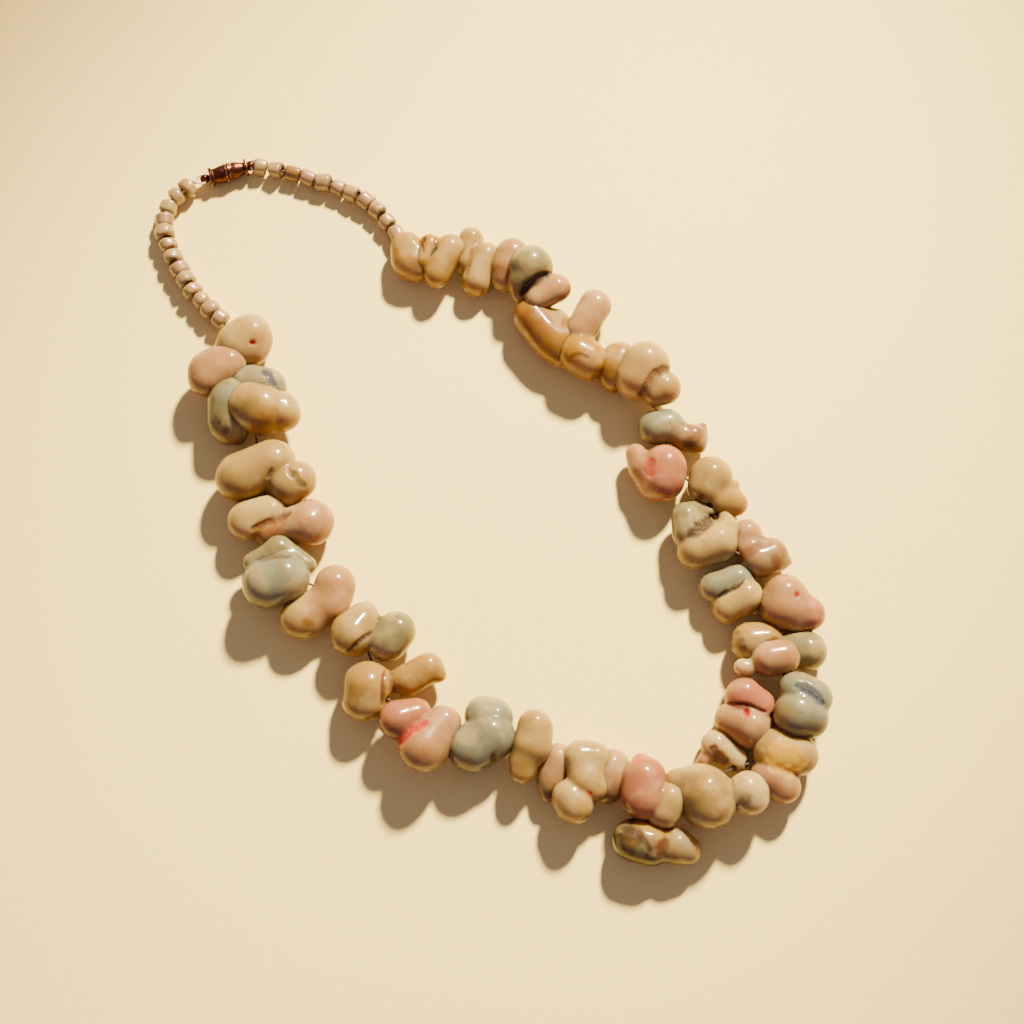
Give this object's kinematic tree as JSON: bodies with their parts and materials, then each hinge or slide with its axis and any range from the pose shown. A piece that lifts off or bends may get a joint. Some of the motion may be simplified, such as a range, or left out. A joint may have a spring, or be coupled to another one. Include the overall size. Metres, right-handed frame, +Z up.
{
  "type": "shell necklace",
  "caption": "Necklace of polished sea shells on a thread, with two runs of small beads that lead to a screw barrel clasp, lying in its whole loop.",
  "frame": {"origin": "under the middle of the box around the whole necklace, on the surface that it lies on", "axes": "+Z up from that surface; the clasp lies towards +Y, along the loop's longest way"},
  "size_m": [0.1028, 0.1876, 0.0176],
  "materials": {
    "shell_cream": "polished cream shell",
    "shell_pink": "polished pink shell",
    "shell_grey": "polished grey-white shell",
    "shell_amber": "polished amber shell",
    "shell_olive": "polished olive-brown shell",
    "small_beads": "small shell beads with brown dirt between",
    "thread": "off-white thread",
    "clasp_metal": "aged red-brown plating with brassy wear"
  },
  "bodies": {
    "root": {"shell_01": "shell_cream", "shell_02": "shell_pink", "shell_03": "shell_grey", "shell_04": "shell_grey", "shell_05": "shell_cream", "shell_06": "shell_cream", "shell_07": "shell_pink", "shell_08": "shell_grey", "shell_09": "shell_pink", "shell_10": "shell_cream", "shell_11": "shell_amber", "shell_12": "shell_pink", "shell_13": "shell_grey", "shell_14": "shell_cream", "shell_15": "shell_cream", "shell_16": "shell_cream", "shell_17": "shell_pink", "shell_18": "shell_pink", "shell_19": "shell_olive", "shell_20": "shell_amber", "shell_21": "shell_grey", "shell_22": "shell_cream", "shell_23": "shell_pink", "shell_24": "shell_grey", "shell_25": "shell_pink", "shell_26": "shell_cream", "shell_27": "shell_pink", "shell_28": "shell_grey", "shell_29": "shell_pink", "shell_30": "shell_grey", "shell_31": "shell_cream", "shell_32": "shell_pink", "shell_33": "shell_grey", "shell_34": "shell_grey", "shell_35": "shell_cream", "shell_36": "shell_amber", "shell_37": "shell_amber", "shell_38": "shell_grey", "shell_39": "shell_cream", "shell_40": "shell_cream", "shell_41": "shell_cream", "shell_42": "shell_amber", "beads_left": "small_beads", "beads_right": "small_beads", "thread": "thread", "clasp_socket": "clasp_metal", "clasp_screw": "clasp_metal"}
  },
  "joints": []
}
